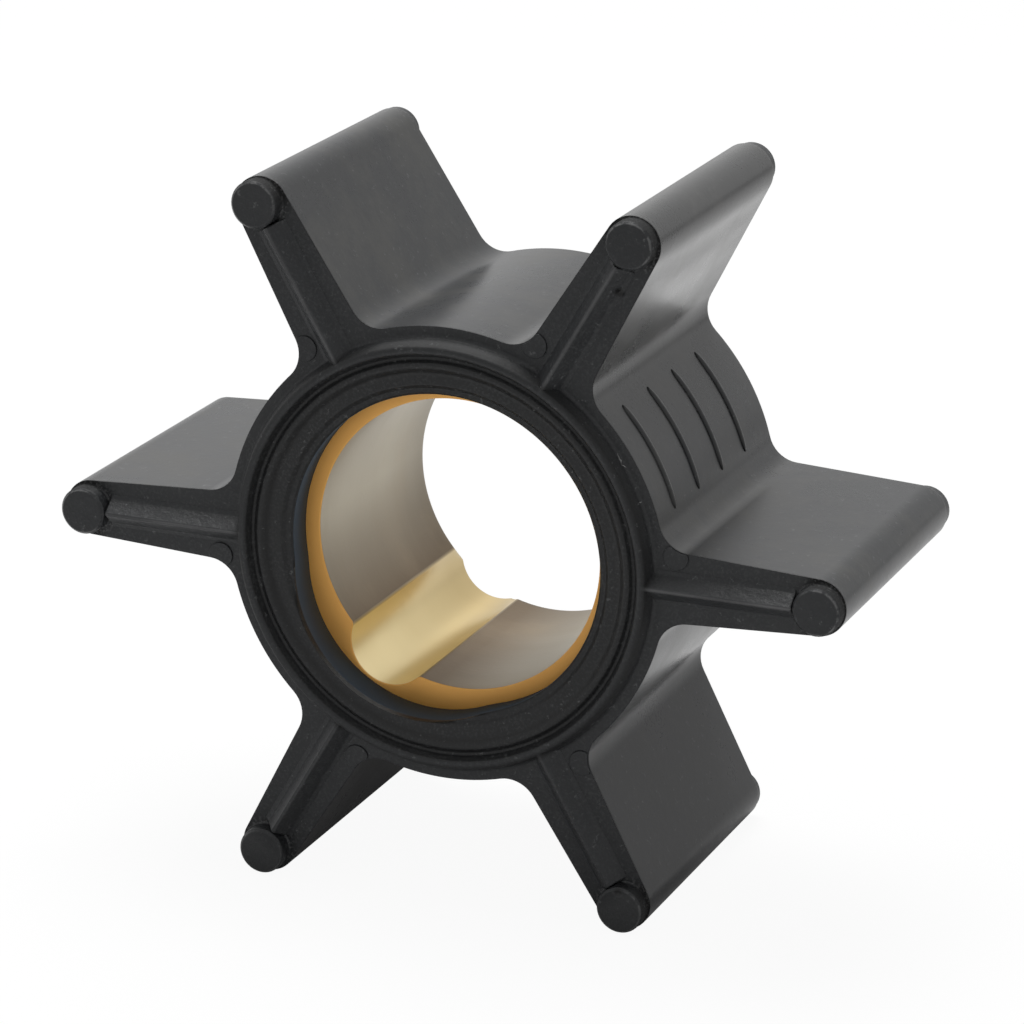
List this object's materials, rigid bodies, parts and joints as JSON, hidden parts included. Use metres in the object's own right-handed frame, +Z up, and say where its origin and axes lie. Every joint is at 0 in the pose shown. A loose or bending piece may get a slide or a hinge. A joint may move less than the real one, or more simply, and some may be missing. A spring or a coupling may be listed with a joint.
{
  "type": "pump impeller",
  "caption": "Flexible rubber pump impeller: straight vanes with rounded tips on a ringed hub, moulded onto a keyed shaft insert.",
  "frame": {"origin": "on the shaft axis, halfway through the width over the rims and tip pads", "axes": "Y along the shaft axis, with the front face toward -Y; Z up, X to the right seen from the front; two vanes lie along X"},
  "size_m": [0.062, 0.0264, 0.0542],
  "materials": {
    "rubber": "satin moulded",
    "brass": "satin bored"
  },
  "bodies": {
    "root": {"rubber_impeller": "rubber", "brass_insert": "brass"}
  },
  "joints": []
}
